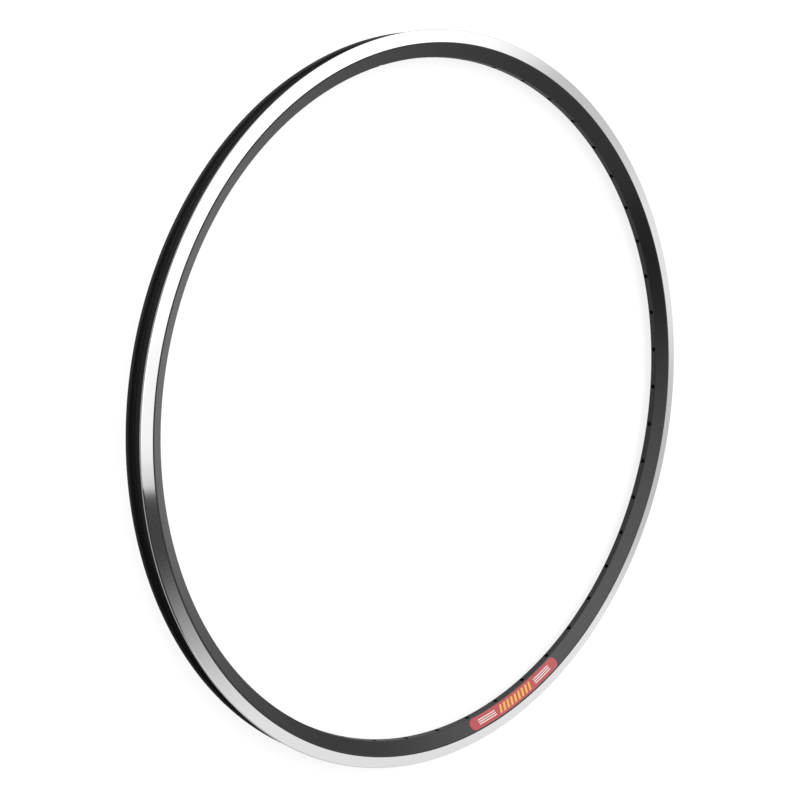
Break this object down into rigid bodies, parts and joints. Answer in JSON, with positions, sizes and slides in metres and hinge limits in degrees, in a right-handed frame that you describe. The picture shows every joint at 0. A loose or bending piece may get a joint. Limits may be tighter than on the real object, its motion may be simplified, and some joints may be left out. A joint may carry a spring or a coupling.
{
  "type": "bicycle rim",
  "caption": "Bare hooked clincher bicycle rim: a hollow double-wall alloy hoop of V-shaped section with turned brake tracks, drilled spoke holes and a valve hole",
  "frame": {"origin": "the hoop's centre, on its axis and midway between its two side faces", "axes": "+Z is the hoop's axis, up as the rim lies flat on its side; +X runs through the valve hole and -X through the hoop's joint and the label's middle"},
  "size_m": [0.634, 0.634, 0.0212],
  "materials": {
    "anodised_alloy": "satin black anodised, with bare turned brake tracks",
    "label_vinyl": "printed vinyl, red with amber and white bars"
  },
  "bodies": {
    "root": {"rim": "anodised_alloy", "side_label": "label_vinyl"}
  },
  "joints": []
}
